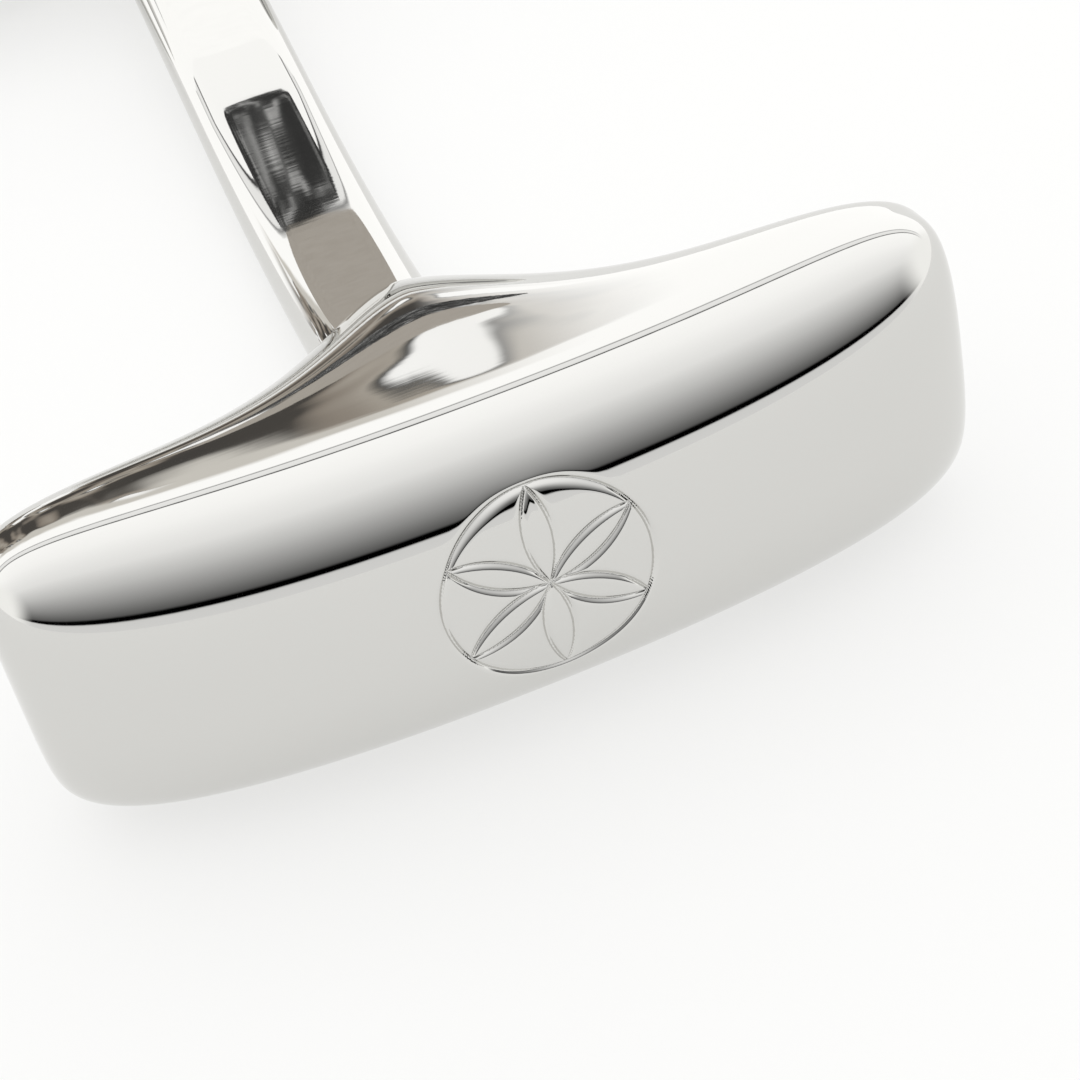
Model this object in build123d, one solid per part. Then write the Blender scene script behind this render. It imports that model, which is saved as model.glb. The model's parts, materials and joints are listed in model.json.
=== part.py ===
"""Cufflink: bowed bar face with a bell-shaped boss, curved flat arm, and a swivel toggle.

Millimetres, +Z up. X runs along the bar, the engraved front faces -Y and the arm leaves towards +Y.
The link lies on its side, as it does on a table: on the boss's underside and on the toggle.
The shapes are drawn in the bar's own upright frame, whose origin is the bar's centre, and are then
leaned over by the angle at which both touch the table. The part's origin is on the table, at the
middle of the link's footprint.
"""
import os
from math import copysign, cos, degrees, exp, pi, radians, sin

from build123d import *

# Face bar
bar_length = 17.0
bar_height = 5.8
bar_half_depth = 2.03         # from the middle line to the front, and to the back beside the boss
bar_bow = 0.76                # how far the middle line stands forward at the centre of the bar
boss_height = 3.4            # how far the boss stands out from the back
boss_half_width = 2.62       # half-width where the boss has dropped to 1/e of its height
boss_shape = 1.64             # power of the bell curve: 2 is a normal bell, and less is more pointed
front_squareness = 2.8        # superellipse powers of the section, before and behind the middle line
back_squareness = 3.75
end_squareness = 7.0         # powers that round the bar's ends, seen from the front,
front_end_roundness = 3.4    # and seen from above, before and behind the middle line
back_end_roundness = 2.45
end_cut = 0.992              # where the rounded end stops, as a fraction of its full half-length
rest_flat = 0.1              # depth of the flat polished on the underside, where the bar rests

# Ornament engraved in the front: a ring, and the petals drawn inside it with the same compass
ornament_radius = 1.8
ornament_line = 0.14
ornament_depth = 0.1
petal_count = 6

# Arm
arm_width = 2.8
arm_thickness = 1.35
arm_root_depth = 1.65         # how far the arm's foot sits inside the boss
arm_root_drop = 0.32         # the root's depth below the bar's centre
arm_root_angle = -8.5       # slope where the arm leaves the bar
arm_end_angle = 22.0         # slope of the straight end
arm_arc_length = 11.9
arm_straight_length = 10.4
foot_flare = 0.56            # extra half-width at the foot
foot_flare_length = 5.0
peg_radius = 0.45            # peg under the foot, soldered into the boss
peg_length = 1.2

# Eye at the arm's end
eye_half_width = 1.3         # from the pin's centre to each flat
eye_corner = 0.5             # rounding of the corner that lifts the spring
eye_neck_length = 2.4        # from the pin's centre back to the full width of the arm

# Toggle
toggle_length = 16.0
toggle_radius = 2.15
toggle_end_rounding = 1.4

# Pin, spring and rivet
pin_radius = 0.45
pin_recess = 0.06            # the pin's ends lie this far below the toggle's crown
spring_thickness = 0.2
spring_width = 1.1
spring_free_length = 1.2     # from the pin's centre to the spring's free end
spring_fixed_length = 6.2    # from the pin's centre to the end under the rivet
rivet_radius = 0.3
rivet_inset = 0.7            # from the rivet's centre to the spring's end
rivet_depth = 1.2
rivet_head_radius = 0.48
rivet_head_height = 0.2

# Clearances
pin_running = 0.03           # pin in the arm's eye, radial
cheek_clear = 0.05           # between the arm's end and each cheek of the fork
eye_swing_clear = 0.12       # between the turning eye and the solid half
spring_clear = 0.05          # between the spring and the eye's flat, and beside the spring

# Fineness of the lofted bar
bar_stations = 33
section_points = 40

half_length = bar_length / 2 / end_cut
slot_half = arm_thickness / 2 + cheek_clear


def signed_power(value, power):
    return copysign(abs(value) ** power, value)


def superellipse(fraction, power):
    return (1 - abs(fraction) ** power) ** (1 / power)


def boss_at(x):
    """How far the boss stands out from the back at one place along the bar."""
    return boss_height * exp(-abs(x / boss_half_width) ** boss_shape)


def section_outline(fraction):
    """Points round the bar's section at a fraction of its half-length."""
    x = fraction * half_length
    height = bar_height / 2 * superellipse(fraction, end_squareness)
    middle = -bar_bow * (1 - fraction ** 2)
    points = []
    for index in range(section_points):
        angle = 2 * pi * index / section_points
        behind = cos(angle) > 0
        shrink = superellipse(fraction, back_end_roundness if behind else front_end_roundness)
        depth = (bar_half_depth + boss_at(x) * behind) * shrink
        power = 2 / (back_squareness if behind else front_squareness)
        y = middle + depth * signed_power(cos(angle), power)
        points.append((x, y, height * signed_power(sin(angle), power)))
    return points


def section_wire(fraction):
    marks = [index / section_points for index in range(section_points + 1)]
    return Wire([Edge.make_spline(section_outline(fraction), periodic=True, parameters=marks)])


def make_bar_blank():
    turns = [pi / 2 * (2 * index / (bar_stations - 1) - 1) for index in range(bar_stations)]
    return Solid.make_loft([section_wire(end_cut * sin(turn)) for turn in turns])


# The arm's path in the YZ plane: an arc from the root, then a straight run to the pin
root_y = bar_half_depth - bar_bow + boss_height - arm_root_depth
root_z = -arm_root_drop
arc_turn = radians(arm_end_angle - arm_root_angle)
arc_radius = arm_arc_length / arc_turn
arc_centre_y = root_y - arc_radius * sin(radians(arm_root_angle))
arc_centre_z = root_z + arc_radius * cos(radians(arm_root_angle))


def arm_plane(distance):
    """Plane across the arm, at a distance from the root along its path."""
    slope = radians(arm_root_angle) + arc_turn * min(distance / arm_arc_length, 1)
    straight = max(distance - arm_arc_length, 0)
    y = arc_centre_y + arc_radius * sin(slope) + straight * cos(slope)
    z = arc_centre_z - arc_radius * cos(slope) + straight * sin(slope)
    return Plane(origin=(0, y, z), x_dir=(1, 0, 0), z_dir=(0, cos(slope), sin(slope)))


def arm_section(distance):
    flare = foot_flare * max(1 - distance / foot_flare_length, 0) ** 2
    return arm_plane(distance) * SlotOverall(arm_width + 2 * flare, arm_thickness)


pin_origin = arm_plane(arm_arc_length + arm_straight_length).origin
end_slope = radians(arm_end_angle)
toggle_plane = Plane(origin=pin_origin, x_dir=(1, 0, 0), z_dir=(0, -sin(end_slope), cos(end_slope)))


def make_arm_strip():
    stations = [foot_flare_length * index / 6 for index in range(7)]
    foot = loft([arm_section(station) for station in stations])
    turn = degrees(arc_turn) * (1 - foot_flare_length / arm_arc_length)
    arc_axis = Axis((0, arc_centre_y, arc_centre_z), (1, 0, 0))
    bend = revolve(arm_section(foot_flare_length), axis=arc_axis, revolution_arc=turn)
    straight = extrude(arm_section(arm_arc_length), amount=arm_straight_length - eye_neck_length)
    return foot + bend + straight


def make_eye():
    """Flat end of the arm, in the toggle's frame: two flats for the spring and a round third corner."""
    width = 2 * eye_half_width
    length = eye_half_width + eye_neck_length
    plate = Pos(0, eye_half_width - length / 2) * Rectangle(width, length)
    tip = plate.vertices().group_by(Axis.Y)[-1].sort_by(Axis.X)
    plate = fillet(tip[0], eye_corner)
    far_corner = plate.vertices().sort_by(lambda corner: corner.X + corner.Y)[-1]
    plate = fillet(far_corner, eye_half_width * 0.9)
    plate -= Circle(pin_radius + pin_running)
    return Pos(0, 0, -arm_thickness / 2) * extrude(plate, amount=arm_thickness)


def make_arm():
    peg = Plane(arm_plane(0).origin, z_dir=-arm_plane(0).z_dir) * Cylinder(
        peg_radius, peg_length, align=(Align.CENTER, Align.CENTER, Align.MIN))
    return make_arm_strip() + peg + toggle_plane * make_eye()


def compass_line():
    """Flat ring of the ornament's line width, drawn round the origin at the ornament's radius."""
    return Circle(ornament_radius + ornament_line / 2) - Circle(ornament_radius - ornament_line / 2)


def make_ornament(blank):
    """The cut that engraves a ring and its petals to an even depth in the blank's rounded front."""
    pattern = compass_line()
    for index in range(petal_count):
        petal_angle = 360 * (index + 0.5) / petal_count
        pattern += Rot(0, 0, petal_angle) * Pos(ornament_radius, 0) * compass_line() & Circle(ornament_radius)
    reach = bar_half_depth + bar_bow
    prism = Plane((0, -reach - 1, 0), z_dir=(0, 1, 0)) * extrude(pattern, amount=1 + reach / 2)
    return prism - Pos(0, ornament_depth, 0) * blank


def make_toggle_body():
    """Round bar along X, in its own frame: a fork on the -X side and a solid half on the +X side."""
    outline = Pos(0, toggle_radius / 2) * Rectangle(toggle_length, toggle_radius)
    corners = outline.vertices().group_by(Axis.Y)[-1]
    outline = fillet(corners, toggle_end_rounding)
    body = revolve(outline, axis=Axis.X)
    swing = ((eye_half_width - eye_corner) * 2 ** 0.5) + eye_corner + eye_swing_clear
    fork_end = -toggle_length
    slot = Pos((swing + fork_end) / 2) * Box(swing - fork_end, 3 * toggle_radius, 2 * slot_half)
    groove_floor = eye_half_width + spring_clear
    groove_end = spring_fixed_length + spring_clear
    groove = Pos(groove_end / 2, groove_floor + toggle_radius / 2) * Box(
        groove_end, toggle_radius, spring_width + 2 * spring_clear)
    body -= slot + groove
    body -= Cylinder(pin_radius, 3 * toggle_radius)
    return body - make_rivet_shank()


def make_pin():
    return Cylinder(pin_radius, 2 * (toggle_radius - pin_recess))


def rivet_place(height):
    x = spring_fixed_length - rivet_inset
    return Plane((x, eye_half_width + spring_clear + height, 0), z_dir=(0, 1, 0))


def make_rivet_shank():
    return rivet_place(-rivet_depth) * Cylinder(
        rivet_radius, rivet_depth + spring_thickness, align=(Align.CENTER, Align.CENTER, Align.MIN))


def make_rivet():
    head = rivet_place(spring_thickness) * Cylinder(
        rivet_head_radius, rivet_head_height, align=(Align.CENTER, Align.CENTER, Align.MIN))
    return make_rivet_shank() + head


def make_spring():
    length = spring_free_length + spring_fixed_length
    middle = (spring_fixed_length - spring_free_length) / 2
    height = eye_half_width + spring_clear + spring_thickness / 2
    return Pos(middle, height) * Box(length, spring_thickness, spring_width) - make_rivet_shank()


def lowest_of_bar(lean):
    """Lowest point of the boss's section when the link is leaned over by an angle in radians."""
    return min(z * cos(lean) - y * sin(lean) for x, y, z in section_outline(0))


def lowest_behind(lean):
    """Lowest point of the arm's belly and of the toggle, leaned over the same way."""
    stations = [arm_plane(arm_arc_length * index / 60).origin for index in range(61)]
    belly = min(point.Z * cos(lean) - point.Y * sin(lean) for point in stations) - arm_thickness / 2
    toggle = pin_origin.Z * cos(lean) - pin_origin.Y * sin(lean) - toggle_radius
    return min(belly, toggle)


def find_lean():
    """Angle at which the bar's underside flat and what lies behind it stand on one level."""
    lean = 0.0
    step = radians(30)
    for halving in range(40):
        step /= 2
        if lowest_behind(lean + step) > lowest_of_bar(lean + step) + rest_flat:
            lean += step
    return lean


def place(shapes):
    """Lean the link over, flatten the bar's underside, and move the footprint's middle to the origin."""
    lean = find_lean()
    table = lowest_of_bar(lean) + rest_flat
    leaned = {name: Rot(-degrees(lean), 0, 0) * shape for name, shape in shapes.items()}
    below = Pos(0, 0, table - bar_height) * Box(2 * bar_length, 4 * bar_length, 2 * bar_height)
    leaned["face_bar"] -= below
    boxes = [shape.bounding_box() for shape in leaned.values()]
    middle_y = (min(box.min.Y for box in boxes) + max(box.max.Y for box in boxes)) / 2
    return {name: Pos(0, -middle_y, -table) * shape for name, shape in leaned.items()}


arm = make_arm()
blank = make_bar_blank()
nodes = place({
    "face_bar": blank - arm - make_ornament(blank),
    "arm": arm,
    "toggle_body": toggle_plane * make_toggle_body(),
    "hinge_pin": toggle_plane * make_pin(),
    "detent_spring": toggle_plane * make_spring(),
    "spring_rivet": toggle_plane * make_rivet(),
})
os.makedirs("parts", exist_ok=True)
for name, shape in nodes.items():
    export_step(shape, f"parts/{name}.step")
print("lean in degrees:", round(degrees(find_lean()), 3))
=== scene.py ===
"""Looks for a silver cufflink: a bowed bar with an engraved front, a curved arm, and a swivel toggle.

Shapes are drawn in millimetres in the bar's own upright frame, as in the part's source: the origin is
the bar's centre, X runs along the bar, the engraved front faces -Y and the arm leaves towards +Y.
They are then leaned over and moved to the table with one matrix, which the frame's joint gives.
"""

import json
from math import asin, cos, pi, radians, sin

import bmesh
import bpy
import numpy as np
from mathutils import Matrix, Vector


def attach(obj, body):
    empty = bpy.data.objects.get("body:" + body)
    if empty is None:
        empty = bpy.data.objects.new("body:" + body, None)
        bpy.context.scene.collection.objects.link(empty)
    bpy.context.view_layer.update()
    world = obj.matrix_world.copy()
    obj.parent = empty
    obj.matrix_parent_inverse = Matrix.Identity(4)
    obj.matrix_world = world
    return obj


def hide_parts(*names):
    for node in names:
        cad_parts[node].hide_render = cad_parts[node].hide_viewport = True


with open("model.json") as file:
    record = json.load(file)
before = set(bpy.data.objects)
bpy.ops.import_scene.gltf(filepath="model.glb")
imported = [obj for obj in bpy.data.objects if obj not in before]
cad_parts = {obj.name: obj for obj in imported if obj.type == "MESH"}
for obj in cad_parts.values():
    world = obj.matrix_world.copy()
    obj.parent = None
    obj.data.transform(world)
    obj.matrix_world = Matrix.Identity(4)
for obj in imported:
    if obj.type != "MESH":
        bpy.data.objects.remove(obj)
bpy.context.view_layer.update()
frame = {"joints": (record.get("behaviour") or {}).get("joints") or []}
scene = bpy.context.scene
MM = 0.001
tiny = 1e-4  # slack when points are picked by where they are

# Face bar
bar_length = 17.0
bar_height = 5.8
bar_half_depth = 2.03
bar_bow = 0.76
boss_height = 3.4
boss_half_width = 2.62
boss_shape = 1.64
front_squareness = 2.8
back_squareness = 3.75
end_squareness = 7.0
front_end_roundness = 3.4
back_end_roundness = 2.45
end_cut = 0.992

# Ornament: a ring and the six petals drawn inside it with the same compass
ornament_radius = 1.8
ornament_line = 0.14
ornament_depth = 0.065
ornament_reach = 2.05
petal_count = 6

# Arm
arm_width = 2.8
arm_thickness = 1.35
arm_root_depth = 1.65
arm_root_drop = 0.32
arm_root_angle = -8.5
arm_end_angle = 22.0
arm_arc_length = 11.9
arm_straight_length = 10.4
foot_flare = 0.56
foot_flare_length = 5.0
eye_half_width = 1.3
eye_corner = 0.5
eye_neck_length = 2.4
eye_rim = 0.12
eye_round_corner = 1.17
eye_swing_clear = 0.12
squaring_length = 1.8

# Toggle, pin, spring and rivet
toggle_length = 16.0
toggle_radius = 2.15
toggle_end_rounding = 1.4
pin_radius = 0.45
pin_hole_radius = 0.48
pin_short = 0.01  # how much shorter the pin is than the toggle is thick
slot_half = 0.725
slot_end = (eye_half_width - eye_corner) * 2 ** 0.5 + eye_corner + eye_swing_clear
groove_half = 0.6
groove_floor = 1.35
groove_end = 6.25
spring_thickness = 0.2
spring_half_width = 0.55
spring_reach = (-1.2, 6.2)
spring_edge = 0.04
rivet_x = 5.5
rivet_head_radius = 0.48
rivet_head_height = 0.2
stud_edge = 0.05
toggle_rim = 0.07
same = 0.004  # points nearer than this count as one

half_length = bar_length / 2 / end_cut
eye_start = arm_arc_length + arm_straight_length - eye_neck_length


# The arm's path, and from it the matrix that leans the link over on the table

root_y = bar_half_depth - bar_bow + boss_height - arm_root_depth
root_z = -arm_root_drop
arc_turn = radians(arm_end_angle - arm_root_angle)
arc_radius = arm_arc_length / arc_turn
arc_centre_y = root_y - arc_radius * sin(radians(arm_root_angle))
arc_centre_z = root_z + arc_radius * cos(radians(arm_root_angle))


def arm_place(distance):
    """Matrix whose X and Y lie across the arm and whose Z runs along it, at a distance from its root."""
    slope = radians(arm_root_angle) + arc_turn * min(distance / arm_arc_length, 1)
    straight = max(distance - arm_arc_length, 0)
    y = arc_centre_y + arc_radius * sin(slope) + straight * cos(slope)
    z = arc_centre_z - arc_radius * cos(slope) + straight * sin(slope)
    return Matrix.Translation((0, y, z)) @ Matrix.Rotation(slope - pi / 2, 4, "X")


toggle_joint = frame["joints"][0]
pin_axis = Vector(toggle_joint["axis"])
lean = radians(arm_end_angle) - asin(-pin_axis.y)
pin_in_bar = arm_place(arm_arc_length + arm_straight_length).translation
lean_over = Matrix.Rotation(-lean, 4, "X")
pin_on_table = Vector(toggle_joint["pos_m"])
bar_origin = pin_on_table - MM * (lean_over @ pin_in_bar)
toggle_in_bar = Matrix.Translation(pin_in_bar) @ Matrix.Rotation(radians(arm_end_angle), 4, "X")
to_table = Matrix.Translation(bar_origin) @ lean_over @ Matrix.Scale(MM, 4)


# Shapes

def finish_piece(name, bm, body, nodes, material):
    """Turns a bmesh in the bar's frame into a smooth piece on the table that stands for CAD nodes."""
    bmesh.ops.transform(bm, matrix=to_table, verts=bm.verts)
    for face in bm.faces:
        face.smooth = True
    mesh = bpy.data.meshes.new(name)
    bm.to_mesh(mesh)
    bm.free()
    mesh.materials.append(material)
    piece = bpy.data.objects.new(name, mesh)
    scene.collection.objects.link(piece)
    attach(piece, body)
    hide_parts(*nodes)
    return piece


def superellipse(fraction, power):
    """Height of a rounded outline of unit size, at a fraction of its half-width."""
    return (1 - np.abs(fraction) ** power) ** (1 / power)


def boss_at(x):
    """How far the bell-shaped boss stands out behind, at a place along the bar."""
    return boss_height * np.exp(-np.abs(x / boss_half_width) ** boss_shape)


def onto_bar(way):
    """Moves points straight out from the bar's centre, each the way its row gives, to the smooth surface."""
    behind = way[:, 1] > 0
    power = np.where(behind, back_squareness, front_squareness)
    roundness = np.where(behind, back_end_roundness, front_end_roundness)
    near = np.zeros(len(way))
    far = 1 / np.maximum(np.abs(way[:, 0]), 0.5)
    for halving in range(44):
        reach = (near + far) / 2
        along = np.minimum(np.abs(reach * way[:, 0]), 1 - 1e-12)
        across = np.abs(reach * way[:, 1]) / superellipse(along, roundness)
        upward = np.abs(reach * way[:, 2]) / superellipse(along, end_squareness)
        inside = across ** power + upward ** power < 1
        near = np.where(inside, reach, near)
        far = np.where(inside, far, reach)
    fraction = near * way[:, 0]
    x = fraction * half_length * (1 - (1 - end_cut) * np.abs(fraction) ** 40)
    depth = bar_half_depth + boss_at(fraction * half_length) * behind
    y = near * way[:, 1] * depth - bar_bow * (1 - fraction ** 2)
    return np.stack([x, y, near * way[:, 2] * bar_height / 2], axis=1)


def groove_at(x, z):
    """Depth of the engraving at a place on the front: lines that swell and fade, in a dished field."""
    radius = np.hypot(x, z)
    turn = np.arctan2(z, x)
    ring_width = ornament_line * (0.62 + 0.14 * np.cos(petal_count * turn))
    cut = np.exp(-np.abs((radius - ornament_radius) / ring_width) ** 1.5 * 2.2)
    swell = ornament_line * (0.3 + 0.4 * np.sin(pi * np.minimum(radius / ornament_radius, 1)))
    for petal in range(petal_count):
        angle = 2 * pi * (petal + 0.5) / petal_count
        reach = np.hypot(x - ornament_radius * cos(angle), z - ornament_radius * sin(angle))
        arc = np.exp(-np.abs((reach - ornament_radius) / swell) ** 1.5 * 2.2)
        cut = np.where(radius < ornament_radius, np.maximum(cut, arc), cut)
    field = np.clip((ornament_reach - radius) / 0.25, 0, 1)
    wave = 0.0012 * (1 - np.cos(2 * petal_count * turn)) * (radius / ornament_radius) ** 2
    return (ornament_depth * cut + wave) * field * field * (3 - 2 * field)


def bar_skin(way):
    """Places on the finished surface, engraving included."""
    place = onto_bar(way / np.abs(way).max(axis=1, keepdims=True))
    front = (way[:, 1] < 0) & (np.hypot(place[:, 0], place[:, 2]) < ornament_reach)
    place[front, 1] += groove_at(place[front, 0], place[front, 2])
    return place


def bar_normals(way):
    """Outward normals of the finished surface, from small steps across it either way."""
    least = np.eye(3)[np.abs(way).argmin(axis=1)]
    first = np.cross(way, least)
    second = np.cross(way, first)
    step = 0.0008
    across = bar_skin(way + step * first) - bar_skin(way - step * first)
    upward = bar_skin(way + step * second) - bar_skin(way - step * second)
    normal = np.cross(across, upward)
    normal /= np.linalg.norm(normal, axis=1, keepdims=True)
    outward = np.sign((normal * way * (half_length, bar_half_depth, bar_height / 2)).sum(axis=1))
    return normal * outward[:, None]


def cut_along(bm, axis, cuts):
    """Cuts every edge that runs along one axis into equal lengths."""
    edges = [edge for edge in bm.edges
             if abs((edge.verts[1].co - edge.verts[0].co)[axis]) > 1e-3]
    bmesh.ops.subdivide_edges(bm, edges=edges, cuts=cuts, use_grid_fill=True)


def gather_to_edges(cube):
    """Moves rows of points on a cube's faces towards its edges, where the bar's surface turns fastest."""
    gather = np.array([0.7, 1.1, 1.1])
    return np.sin(gather * cube) / np.sin(gather)


def make_face_bar(material):
    """A finely cut cube, blown out onto the bar's surface with the ornament pressed into its front."""
    bm = bmesh.new()
    bmesh.ops.create_cube(bm, size=2)
    for axis, cuts in ((0, 155), (1, 55), (2, 67)):
        cut_along(bm, axis, cuts)
    faces = list(bm.faces)
    centres = np.array([face.calc_center_median() for face in faces])
    place = onto_bar(gather_to_edges(centres))
    chosen = (centres[:, 1] < -0.999) & (np.hypot(place[:, 0], place[:, 2]) < ornament_reach)
    edges = {edge for face, fine in zip(faces, chosen) if fine for edge in face.edges}
    bmesh.ops.subdivide_edges(bm, edges=list(edges), cuts=5, use_grid_fill=True)
    way = gather_to_edges(np.array([vert.co for vert in bm.verts]))
    for vert, place in zip(bm.verts, bar_skin(way)):
        vert.co = to_table @ Vector(place)
        vert.co.z = max(vert.co.z, 0)
    bmesh.ops.transform(bm, matrix=to_table.inverted(), verts=bm.verts)
    bar = finish_piece("engraved_bar", bm, "link", ["face_bar"], material)
    normals = bar_normals(way) @ np.array(lean_over.to_3x3()).T
    bar.data.normals_split_custom_set_from_vertices([tuple(normal) for normal in normals])
    return bar


def arm_outline(distance):
    """Points round the arm's section: full round sides, which square up and narrow to meet the eye."""
    flare = foot_flare * max(1 - distance / foot_flare_length, 0) ** 2
    squaring = min(max((distance - eye_start) / squaring_length + 1, 0), 1)
    squaring = squaring * squaring * (3 - 2 * squaring)
    half_width = arm_width / 2 + flare + squaring * (eye_half_width - arm_width / 2)
    rounding = arm_thickness / 2 + squaring * (eye_rim - arm_thickness / 2)
    side_steps = 12
    points = []
    for corner_x, corner_y, start in ((1, -1, -0.5), (1, 1, 0), (-1, 1, 0.5), (-1, -1, 1)):
        for step in range(side_steps + 1):
            angle = pi * (start + 0.5 * step / side_steps)
            points.append(Vector((corner_x * (half_width - rounding) + rounding * cos(angle),
                                  corner_y * (arm_thickness / 2 - rounding) + rounding * sin(angle), 0)))
        if corner_x == corner_y:
            for step in range(1, 12):
                points.append(Vector((corner_x * (half_width - rounding) * (1 - step / 6),
                                      corner_y * arm_thickness / 2, 0)))
    return points


def make_arm_strip(bm):
    """The strip of the arm, drawn along its path from inside the boss to the eye's neck."""
    stations = [eye_start * step / 150 for step in range(151)]
    ring = [bm.verts.new(arm_place(0) @ point) for point in arm_outline(0)]
    loop = [bm.edges.new((ring[index - 1], ring[index])) for index in range(len(ring))]
    bm.faces.new(reversed(ring))
    for station in stations[1:]:
        grown = bmesh.ops.extrude_edge_only(bm, edges=loop)["geom"]
        ring_edges = [item for item in grown if isinstance(item, bmesh.types.BMEdge)]
        new_verts = [item for item in grown if isinstance(item, bmesh.types.BMVert)]
        order = {}
        for vert in new_verts:
            for edge in vert.link_edges:
                other = edge.other_vert(vert)
                if other in ring:
                    order[ring.index(other)] = vert
        ring = [order[index] for index in range(len(ring))]
        for vert, point in zip(ring, arm_outline(station)):
            vert.co = arm_place(station) @ point
        loop = [edge for edge in ring_edges if edge.verts[0] in new_verts and edge.verts[1] in new_verts]
    bm.faces.new(ring)


def soften(bm, edges, size):
    """Rounds edges over with three narrow faces each."""
    bmesh.ops.bevel(bm, geom=edges, offset=size, segments=3, profile=0.5, affect="EDGES",
                    clamp_overlap=True, material=-1)


def make_eye(bm):
    """The arm's flat end, in the toggle's frame: two flats for the spring, a round corner, a pin hole."""
    plate = bmesh.new()
    bmesh.ops.create_grid(plate, x_segments=1, y_segments=1, size=1)
    middle = (eye_half_width - eye_neck_length) / 2
    for vert in plate.verts:
        vert.co = (vert.co.x * eye_half_width, middle + vert.co.y * (eye_half_width - middle), 0)
    for side, rounding in ((-1, eye_corner), (1, eye_round_corner)):
        tip = [vert for vert in plate.verts
               if min(vert.co.y, vert.co.x * side) > eye_half_width - tiny]
        bmesh.ops.bevel(plate, geom=tip, offset=rounding, segments=14, profile=0.5, affect="VERTICES",
                        clamp_overlap=False, material=-1)
    bmesh.ops.create_circle(plate, cap_ends=False, segments=64, radius=pin_hole_radius)
    bmesh.ops.delete(plate, geom=list(plate.faces), context="FACES_ONLY")
    bmesh.ops.triangle_fill(plate, use_beauty=True, edges=plate.edges, normal=(0, 0, 1))
    bmesh.ops.translate(plate, vec=(0, 0, -arm_thickness / 2), verts=plate.verts)
    grown = bmesh.ops.extrude_face_region(plate, geom=list(plate.faces), use_keep_orig=True)["geom"]
    bmesh.ops.translate(plate, vec=(0, 0, arm_thickness),
                        verts=[item for item in grown if isinstance(item, bmesh.types.BMVert)])
    bmesh.ops.recalc_face_normals(plate, faces=plate.faces)
    rims = [edge for edge in plate.edges
            if abs(edge.verts[0].co.z - edge.verts[1].co.z) < tiny and edge.calc_face_angle(0) > 1
            and min(edge.verts[0].co.y, edge.verts[1].co.y) > -eye_neck_length + tiny]
    soften(plate, rims, eye_rim)
    add_shape(bm, plate, toggle_in_bar)


def add_shape(bm, shape, place):
    """Adds a shape drawn in a frame of its own to another one, and frees it."""
    bmesh.ops.transform(shape, matrix=place, verts=shape.verts)
    mesh = bpy.data.meshes.new("part")
    shape.to_mesh(mesh)
    shape.free()
    bm.from_mesh(mesh)
    bpy.data.meshes.remove(mesh)


def make_arm(material):
    """The strip and its eye, as one piece."""
    bm = bmesh.new()
    make_arm_strip(bm)
    bmesh.ops.remove_doubles(bm, verts=bm.verts, dist=1e-5)
    bmesh.ops.recalc_face_normals(bm, faces=bm.faces)
    make_eye(bm)
    return finish_piece("curved_arm", bm, "link", ["arm"], material)


def turned_rod(length, radius, rounding, steps):
    """A rod along X, turned from half its outline, with rounded ends and rows of faces along it."""
    bm = bmesh.new()
    half = length / 2
    outline = [(-half, 0), (-half, (radius - rounding) / 2), (-half, radius - rounding)]
    for step in range(1, 13):
        angle = pi / 24 * step
        outline.append((-half + rounding * (1 - cos(angle)), radius - rounding * (1 - sin(angle))))
    straight = half - rounding
    outline += [(straight * (step / 6 - 1), radius) for step in range(1, 7)]
    outline += [(-x, r) for x, r in reversed(outline[:-1])]
    verts = [bm.verts.new((x, 0, r)) for x, r in outline]
    edges = [bm.edges.new(pair) for pair in zip(verts, verts[1:])]
    bmesh.ops.spin(bm, geom=verts + edges, axis=(1, 0, 0), cent=(0, 0, 0), angle=2 * pi, steps=steps,
                   use_merge=True)
    bmesh.ops.remove_doubles(bm, verts=bm.verts, dist=1e-5)
    bmesh.ops.recalc_face_normals(bm, faces=bm.faces)
    return bm


def cut_plane(bm, place, normal):
    """Cuts all faces along a plane and keeps both sides."""
    bmesh.ops.bisect_plane(bm, geom=list(bm.verts) + list(bm.edges) + list(bm.faces), dist=0.002,
                           plane_co=place, plane_no=normal)


def join_points(bm, *points):
    """Finds or makes a vertex at each point, and an edge between each and the next one."""
    found = []
    for point in points:
        near = min(bm.verts, key=lambda vert: (vert.co - Vector(point)).length)
        if (near.co - Vector(point)).length > same:
            near = bm.verts.new(point)
        found.append(near)
    for first, second in zip(found, found[1:]):
        if not bm.edges.get((first, second)):
            bm.edges.new((first, second))


def close_wall(bm, fits):
    """Fills the flat opening whose bare edges all fit a test."""
    bare = [edge for edge in bm.edges if len(edge.link_faces) < 2
            and fits(edge.verts[0].co) and fits(edge.verts[1].co)]
    bmesh.ops.contextual_create(bm, geom=bare)


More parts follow.
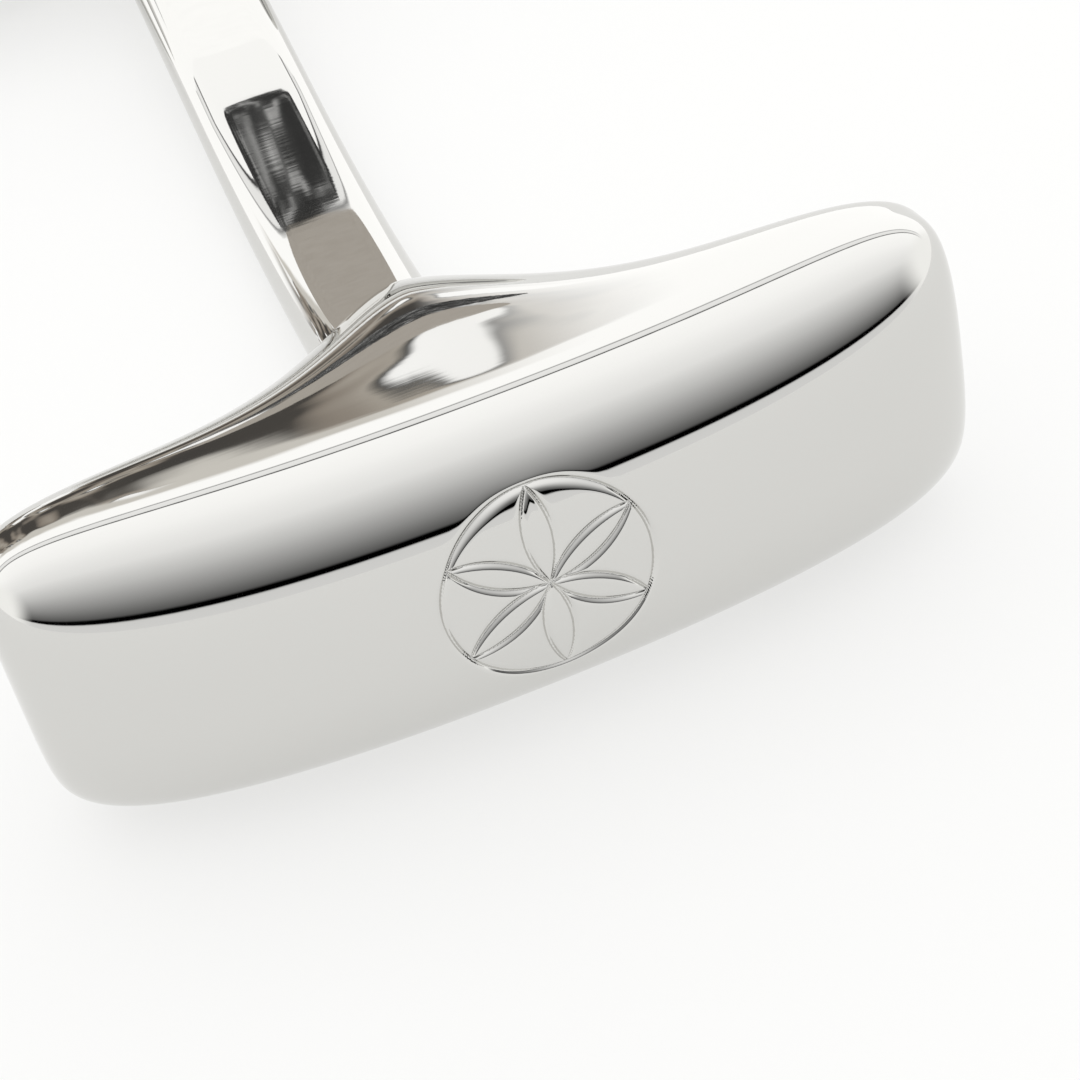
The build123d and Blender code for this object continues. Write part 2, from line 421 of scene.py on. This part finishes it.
def make_toggle(material):
    """The round bar: a fork open at one end, and in the solid half a groove for the spring."""
    bm = turned_rod(toggle_length, toggle_radius, toggle_end_rounding, 120)
    for side in (-1, 1):
        cut_plane(bm, (0, 0, side * slot_half), (0, 0, 1))
        cut_plane(bm, (0, 0, side * groove_half), (0, 0, 1))
    cut_plane(bm, (slot_end, 0, 0), (1, 0, 0))
    cut_plane(bm, (groove_end, 0, 0), (1, 0, 0))
    gone = []
    for face in bm.faces:
        centre = face.calc_center_median()
        in_slot = centre.x < slot_end and abs(centre.z) < slot_half
        in_groove = slot_end < centre.x < groove_end and abs(centre.z) < groove_half and centre.y > 0
        if in_slot or in_groove:
            gone.append(face)
    bmesh.ops.delete(bm, geom=gone, context="FACES")
    slot_edge = (toggle_radius ** 2 - slot_half ** 2) ** 0.5
    groove_top = (toggle_radius ** 2 - groove_half ** 2) ** 0.5
    for side in (-1, 1):
        z = side * slot_half
        join_points(bm, (slot_end, -slot_edge, z), (slot_end, slot_edge, z))
        close_wall(bm, lambda place: abs(place.z - z) < same and place.x < slot_end + same)
    for side in (-1, 1):
        z = side * groove_half
        join_points(bm, (slot_end, groove_top, z), (slot_end, groove_floor, z),
                    (groove_end, groove_floor, z), (groove_end, groove_top, z))
        close_wall(bm, lambda place: abs(place.z - z) < same and place.y > 0 and place.x > slot_end - same)
    for x in (slot_end, groove_end):
        join_points(bm, (x, groove_floor, -groove_half), (x, groove_floor, groove_half))
    close_wall(bm, lambda place: abs(place.x - groove_end) < same and place.y > 0)
    close_wall(bm, lambda place: abs(place.y - groove_floor) < same and abs(place.z) < groove_half + same)
    close_wall(bm, lambda place: abs(place.x - slot_end) < same)
    bmesh.ops.recalc_face_normals(bm, faces=bm.faces)
    rims = [edge for edge in bm.edges if len(edge.link_faces) == 2 and edge.calc_face_angle(0) > 0.7]
    soften(bm, rims, toggle_rim)
    bmesh.ops.transform(bm, matrix=toggle_in_bar, verts=bm.verts)
    return finish_piece("forked_toggle", bm, "toggle", ["toggle_body"], material)


def make_stud(name, node, radius, length, place, material):
    """A pin or rivet: a short rod turned with a small rounded edge, set along its own axis."""
    bm = turned_rod(length, radius, stud_edge, 64)
    bmesh.ops.transform(bm, matrix=toggle_in_bar @ place, verts=bm.verts)
    return finish_piece(name, bm, "toggle", [node], material)


def make_studs(material):
    """The hinge pin, whose ends are level with the toggle's sides, and the head of the spring's rivet."""
    upright = Matrix.Rotation(-pi / 2, 4, "Y")
    make_stud("turned_pin", "hinge_pin", pin_radius, 2 * toggle_radius - pin_short, upright,
              material)
    top = groove_floor + spring_thickness + rivet_head_height
    middle = top - rivet_head_height / 2
    place = Matrix.Translation((rivet_x, middle, 0)) @ Matrix.Rotation(pi / 2, 4, "Z")
    make_stud("domed_rivet", "spring_rivet", rivet_head_radius, rivet_head_height, place,
              material)


def make_spring(material):
    """The leaf: a thin strip with softened edges that lies in the groove and bears on the eye."""
    bm = bmesh.new()
    bmesh.ops.create_cube(bm, size=1)
    start, end = spring_reach
    for vert in bm.verts:
        vert.co = ((start + end) / 2 + vert.co.x * (end - start),
                   groove_floor + spring_thickness * (vert.co.y + 0.5), vert.co.z * 2 * spring_half_width)
    soften(bm, list(bm.edges), spring_edge)
    bmesh.ops.transform(bm, matrix=toggle_in_bar, verts=bm.verts)
    return finish_piece("leaf_spring", bm, "toggle", ["detent_spring"], material)


# Materials

class Socket:
    """A shader value that takes part in ordinary sums: each sum adds the Math node it needs."""

    def __init__(self, nodes, output):
        self.nodes = nodes
        self.output = output

    def maths(self, operation, *others):
        inputs = {index: value for index, value in enumerate(others)}
        return self.nodes.add("ShaderNodeMath", {"operation": operation}, inputs)["Value"]

    def __add__(self, other):
        return self.maths("ADD", self, other)

    def __sub__(self, other):
        return self.maths("SUBTRACT", self, other)

    def __rsub__(self, other):
        return self.maths("SUBTRACT", other, self)

    def __mul__(self, other):
        return self.maths("MULTIPLY", self, other)

    def __truediv__(self, other):
        return self.maths("DIVIDE", self, other)

    def __lt__(self, other):
        return self.maths("LESS_THAN", self, other)


class Nodes:
    """The nodes of one material or world."""

    def __init__(self, owner):
        owner.use_nodes = True
        self.tree = owner.node_tree
        self.tree.nodes.clear()

    def add(self, kind, settings, inputs):
        """Adds a node, sets its settings first and then its sockets, and returns its outputs by name."""
        node = self.tree.nodes.new(kind)
        for name, value in settings.items():
            if name == "stops":
                ramp = node.color_ramp
                while len(ramp.elements) < len(value):
                    ramp.elements.new(1)
                for element, (position, shade) in zip(ramp.elements, value):
                    element.position = position
                    element.color = (*shade, 1) if isinstance(shade, tuple) else (shade, shade, shade, 1)
            else:
                setattr(node, name, value)
        for name, value in inputs.items():
            if isinstance(value, Socket):
                self.tree.links.new(value.output, node.inputs[name])
            else:
                node.inputs[name].default_value = value
        named = {output.name: Socket(self, output) for output in node.outputs}
        return {**{index: Socket(self, output) for index, output in enumerate(node.outputs)}, **named}


def polished_metal(name, colour, roughness, scratches):
    """Polished metal with a soft haze, faint crossing scratches, and a few small pits."""
    material = bpy.data.materials.new(name)
    nodes = Nodes(material)
    place = nodes.add("ShaderNodeTexCoord", {}, {})["Object"]
    haze = nodes.add("ShaderNodeTexNoise", {}, {"Vector": place, "Scale": 420.0, "Detail": 4.0,
                                                "Roughness": 0.6})["Fac"]
    scratch = None
    for turn, stretch in ((0.4, 30.0), (1.9, 24.0), (2.7, 36.0)):
        turned = nodes.add("ShaderNodeMapping", {}, {"Vector": place, "Rotation": (turn * 0.3, turn, turn),
                                                     "Scale": (400.0, 400.0 * stretch, 400.0)})["Vector"]
        lines = nodes.add("ShaderNodeTexNoise", {}, {"Vector": turned, "Scale": 1.0, "Detail": 1.0})["Fac"]
        scratch = lines if scratch is None else scratch + lines
    pits = nodes.add("ShaderNodeTexVoronoi", {"feature": "F1"}, {"Vector": place, "Scale": 900.0,
                                                                 "Randomness": 1.0})
    chosen = nodes.add("ShaderNodeSeparateColor", {}, {"Color": pits["Color"]})["Red"] < 0.06
    pit = (pits["Distance"] < 0.07) * chosen
    height = scratch * (0.00000006 * scratches) - pit * 0.000004
    bump = nodes.add("ShaderNodeBump", {}, {"Height": height, "Strength": 1.0, "Distance": 1.0})["Normal"]
    rough = haze * roughness + roughness * 0.5 + pit * 0.2
    shader = nodes.add("ShaderNodeBsdfPrincipled", {}, {
        "Base Color": (*colour, 1), "Metallic": 1.0, "Roughness": rough, "Normal": bump})
    nodes.add("ShaderNodeOutputMaterial", {}, {"Surface": shader["BSDF"]})
    return material


def floor_paper():
    """Plain white paper that glows a little, so that shadows on it stay faint."""
    material = bpy.data.materials.new("floor_paper")
    nodes = Nodes(material)
    place = nodes.add("ShaderNodeTexCoord", {}, {})["Object"]
    grain = nodes.add("ShaderNodeTexNoise", {}, {"Vector": place, "Scale": 900.0, "Detail": 3.0})["Fac"]
    bump = nodes.add("ShaderNodeBump", {}, {"Height": grain * 0.00001, "Strength": 0.3, "Distance": 1.0})
    shader = nodes.add("ShaderNodeBsdfPrincipled", {}, {
        "Base Color": (0.3, 0.3, 0.297, 1), "Roughness": 0.8, "Normal": bump["Normal"],
        "Emission Color": (1, 1, 0.99, 1), "Emission Strength": 0.63})
    nodes.add("ShaderNodeOutputMaterial", {}, {"Surface": shader["BSDF"]})
    return material


# Stage, light and camera

def make_floor():
    """The table's top."""
    bm = bmesh.new()
    bmesh.ops.create_grid(bm, x_segments=1, y_segments=1, size=0.6)
    mesh = bpy.data.meshes.new("floor")
    bm.to_mesh(mesh)
    bm.free()
    mesh.materials.append(floor_paper())
    floor = bpy.data.objects.new("floor", mesh)
    scene.collection.objects.link(floor)


def between(nodes, value, rise, fall):
    """1 where a value lies between two soft edges, each given by where it starts and ends."""
    up = nodes.add("ShaderNodeMapRange", {"interpolation_type": "SMOOTHSTEP"}, {
        "Value": value, "From Min": rise[0], "From Max": rise[1]})["Result"]
    down = nodes.add("ShaderNodeMapRange", {"interpolation_type": "SMOOTHSTEP"}, {
        "Value": value, "From Min": fall[0], "From Max": fall[1]})["Result"]
    return up * (1 - down)


def make_light_tent():
    """A pale tent for the metal: a dark gap above the table in front, brighter cloth up and over, and
    behind on the left a beige board with a dark room beyond it."""
    world = bpy.data.worlds.new("light_tent")
    scene.world = world
    nodes = Nodes(world)
    way = nodes.add("ShaderNodeTexCoord", {}, {})["Generated"]
    parts = nodes.add("ShaderNodeSeparateXYZ", {}, {"Vector": way})
    over = parts["Z"].maths("ARCTAN2", parts["Z"], parts["Y"] * -1) / pi
    cloth = nodes.add("ShaderNodeValToRGB", {"stops": [
        (0.0, 0.62), (0.03, 0.6), (0.035, 0.0), (0.052, 0.0), (0.06, 0.09), (0.13, 0.26), (0.24, 0.5),
        (0.38, 0.74), (0.6, 0.9), (0.742, 0.95), (0.746, 0.06), (0.75, 0.06), (0.755, 0.78),
        (0.785, 0.8), (0.79, 0.12), (0.796, 0.97), (1.0, 0.97)]}, {"Fac": over})["Color"]
    folds = nodes.add("ShaderNodeTexNoise", {}, {"Vector": way, "Scale": 7.0, "Detail": 2.0})["Fac"]
    wavy = over + folds * 0.05 - 0.025
    board = between(nodes, parts["X"], (-0.6, -0.45), (0.1, 0.24)) * between(
        nodes, wavy, (0.848, 0.866), (0.93, 0.94))
    glow = nodes.add("ShaderNodeMix", {"data_type": "RGBA"}, {
        "Factor": board, 6: cloth, 7: (0.56, 0.54, 0.505, 1)})[2]
    room = nodes.add("ShaderNodeValToRGB", {"stops": [
        (0.0, 0.04), (0.44, (0.06, 0.055, 0.05)), (0.5, (0.24, 0.21, 0.18)), (0.55, (0.36, 0.33, 0.29)),
        (0.58, 0.05), (0.6, 0.9)]}, {"Fac": folds})["Color"]
    dark = between(nodes, parts["X"], (-0.6, -0.45), (0.14, 0.28)) * between(
        nodes, wavy, (0.884, 0.892), (1.1, 1.2))
    glow = nodes.add("ShaderNodeMix", {"data_type": "RGBA"}, {"Factor": dark, 6: glow, 7: room})[2]
    side = parts["X"].maths("ABSOLUTE", parts["X"])
    at_side = nodes.add("ShaderNodeMapRange", {"interpolation_type": "SMOOTHSTEP"}, {
        "Value": side, "From Min": 0.86, "From Max": 0.97})["Result"]
    glow = nodes.add("ShaderNodeMix", {"data_type": "RGBA"}, {
        "Factor": at_side, 6: glow, 7: (0.85, 0.85, 0.84, 1)})[2]
    seen = nodes.add("ShaderNodeLightPath", {}, {})["Is Camera Ray"]
    tent = nodes.add("ShaderNodeBackground", {}, {"Color": glow, "Strength": 1.5})["Background"]
    backdrop = nodes.add("ShaderNodeBackground", {}, {"Color": (0.95, 0.95, 0.945, 1), "Strength": 1.0})
    mixed = nodes.add("ShaderNodeMixShader", {}, {0: seen, 1: tent, 2: backdrop["Background"]})["Shader"]
    nodes.add("ShaderNodeOutputWorld", {}, {"Surface": mixed})


def make_floor_light():
    """A large soft light high in front, whose own shape the metal doesn't show."""
    light = bpy.data.lights.new("floor_light", "AREA")
    light.shape = "SQUARE"
    light.size = 0.25
    light.energy = 0.06
    lamp = bpy.data.objects.new("floor_light", light)
    lamp.location = (0, -0.12, 0.25)
    lamp.rotation_euler = (radians(-25), 0, 0)
    lamp.visible_glossy = False
    scene.collection.objects.link(lamp)


def card_paint(name, stops, strength):
    """Paint that glows the same in any light: scraps of cloth, or plain board where the stops agree."""
    material = bpy.data.materials.new(name)
    nodes = Nodes(material)
    place = nodes.add("ShaderNodeTexCoord", {}, {})["Object"]
    squeezed = nodes.add("ShaderNodeMapping", {}, {
        "Vector": place, "Scale": (1700.0, 8000.0, 1700.0)})["Vector"]
    scraps = nodes.add("ShaderNodeTexNoise", {}, {"Vector": squeezed, "Scale": 1.0, "Detail": 2.0})["Fac"]
    cloth = nodes.add("ShaderNodeValToRGB", {"stops": stops}, {"Fac": scraps})["Color"]
    shader = nodes.add("ShaderNodeEmission", {}, {"Color": cloth, "Strength": strength})["Emission"]
    nodes.add("ShaderNodeOutputMaterial", {}, {"Surface": shader})
    return material


def hang_card(name, centre, half_width, half_depth, stops, strength=1.0):
    """A small oval card hung over the arm, seen only in the metal: the arm's hollow enlarges it."""
    bm = bmesh.new()
    bmesh.ops.create_circle(bm, cap_ends=True, segments=64, radius=MM)
    bmesh.ops.scale(bm, vec=(half_width, half_depth, 1), verts=bm.verts)
    bmesh.ops.translate(bm, vec=Vector(centre) * MM, verts=bm.verts)
    mesh = bpy.data.meshes.new(name)
    bm.to_mesh(mesh)
    bm.free()
    mesh.materials.append(card_paint(name + "_paint", stops, strength))
    card = bpy.data.objects.new(name, mesh)
    scene.collection.objects.link(card)
    card.visible_camera = False
    card.visible_diffuse = False
    card.visible_shadow = False


def hang_cards():
    """Dark scraps and brown board over the arm, and a white card that hides the board from its far end."""
    hang_card("dark_card", (0.9, 4.2, 8.0), 4.2, 3.0, [
        (0.0, 0.02), (0.5, 0.05), (0.57, 0.13), (0.63, 0.4), (0.72, 0.7)])
    hang_card("brown_card", (1.8, 17.6, 12.0), 5.6, 5.3, [
        (0.3, (0.5, 0.46, 0.41)), (0.7, (0.56, 0.52, 0.47))])
    hang_card("white_card", (0.5, 8.5, 5.0), 6.0, 1.9, [(0.3, 0.96), (0.7, 0.98)], 1.5)


def place_camera():
    """A close camera to the left of and above the bar's front, turned a little about its own axis."""
    turn, rise, roll = radians(11.281), radians(35), radians(14.466)
    towards = Vector((-sin(turn) * cos(rise), -cos(turn) * cos(rise), sin(rise)))
    level = Vector((cos(turn), -sin(turn), 0))
    upright = towards.cross(level)
    right = level * cos(roll) - upright * sin(roll)
    up = level * sin(roll) + upright * cos(roll)
    facing = Matrix((right, up, towards)).transposed().to_4x4()
    camera = bpy.data.objects.new("camera", bpy.data.cameras.new("camera"))
    scene.collection.objects.link(camera)
    camera.data.lens = 72.35
    camera.data.clip_start = 0.001
    camera.data.shift_x = 0.04305
    camera.data.shift_y = -0.04065
    camera.matrix_world = Matrix.Translation(to_table @ (towards * 36.59)) @ lean_over @ facing
    scene.camera = camera


silver = polished_metal("polished_silver", (0.66, 0.655, 0.635), 0.03, 1.0)
steel = polished_metal("spring_steel", (0.42, 0.42, 0.43), 0.2, 3.0)
make_face_bar(silver)
make_arm(silver)
make_toggle(silver)
make_studs(silver)
make_spring(steel)
make_floor()
make_light_tent()
make_floor_light()
hang_cards()
place_camera()
scene.view_settings.view_transform = "Standard"
